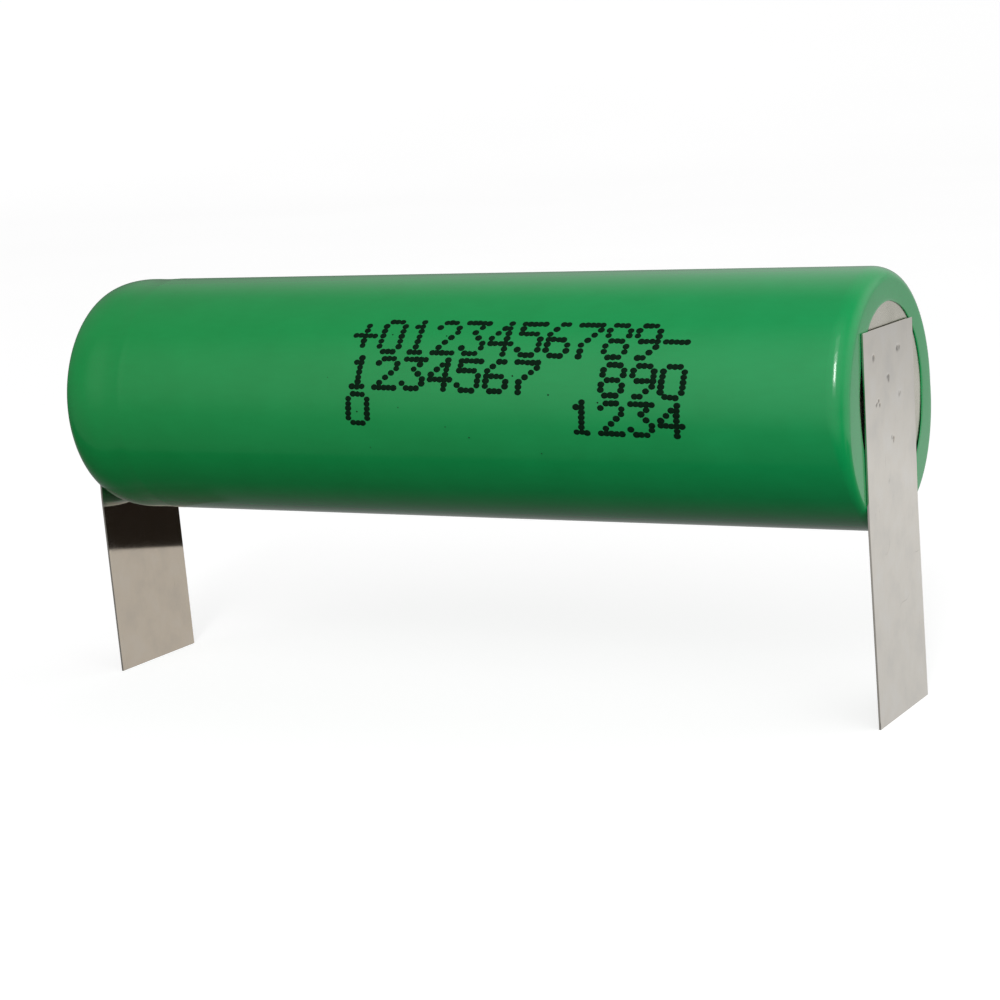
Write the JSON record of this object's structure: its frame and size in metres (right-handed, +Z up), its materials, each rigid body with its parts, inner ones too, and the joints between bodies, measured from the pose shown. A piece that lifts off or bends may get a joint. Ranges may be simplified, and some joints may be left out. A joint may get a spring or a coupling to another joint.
{
  "type": "cylindrical battery cell",
  "caption": "Cylindrical rechargeable cell in a green shrink sleeve, with a flat nickel solder tab welded across each end; the free leg of each tab folds at the cell's edge.",
  "frame": {"origin": "below the middle of the cell's length, on the plane that the ends of the two tabs stand on", "axes": "+X along the cell's axis towards its flat negative end, +Z up from the tab ends to the cell, +Y to the left of +X"},
  "size_m": [0.0655, 0.0184, 0.0313],
  "materials": {
    "green_sleeve": "gloss",
    "plated_steel": "satin",
    "nickel_strip": "satin",
    "aluminium": "satin",
    "insulating_paper": "matte",
    "gasket_plastic": "satin",
    "ring_plastic": "satin",
    "separator_film": "satin",
    "coated_copper": "matte",
    "coated_aluminium": "matte",
    "blue_tape": "satin",
    "amber_tape": "gloss"
  },
  "bodies": {
    "cell": {"heat_shrink_sleeve": "green_sleeve", "steel_can": "plated_steel", "positive_washer": "insulating_paper", "crimp_gasket": "gasket_plastic", "top_cap": "plated_steel", "vent_disc": "aluminium", "interrupt_ring": "ring_plastic", "interrupt_plate": "aluminium", "cathode_lead": "aluminium", "cathode_lead_tape": "amber_tape", "top_insulator": "insulating_paper", "cathode_sheet": "coated_aluminium", "anode_sheet": "coated_copper", "inner_separator": "separator_film", "outer_separator": "separator_film", "roll_tape": "blue_tape", "centre_pin": "plated_steel", "anode_lead": "nickel_strip", "bottom_insulator": "insulating_paper", "negative_tab_pad": "nickel_strip", "positive_tab_pad": "nickel_strip"},
    "negative_leg": {"negative_tab_leg": "nickel_strip"},
    "positive_leg": {"positive_tab_leg": "nickel_strip"}
  },
  "joints": [
    {"name": "negative_tab_fold", "type": "hinge", "parent": "cell", "child": "negative_leg", "pos_m": [0.03254, 0, 0.0125], "axis": [0, 1, 0], "range_deg": [-90, 87]},
    {"name": "positive_tab_fold", "type": "hinge", "parent": "cell", "child": "positive_leg", "pos_m": [-0.03254, 0, 0.0125], "axis": [0, -1, 0], "range_deg": [-90, 87]}
  ]
}
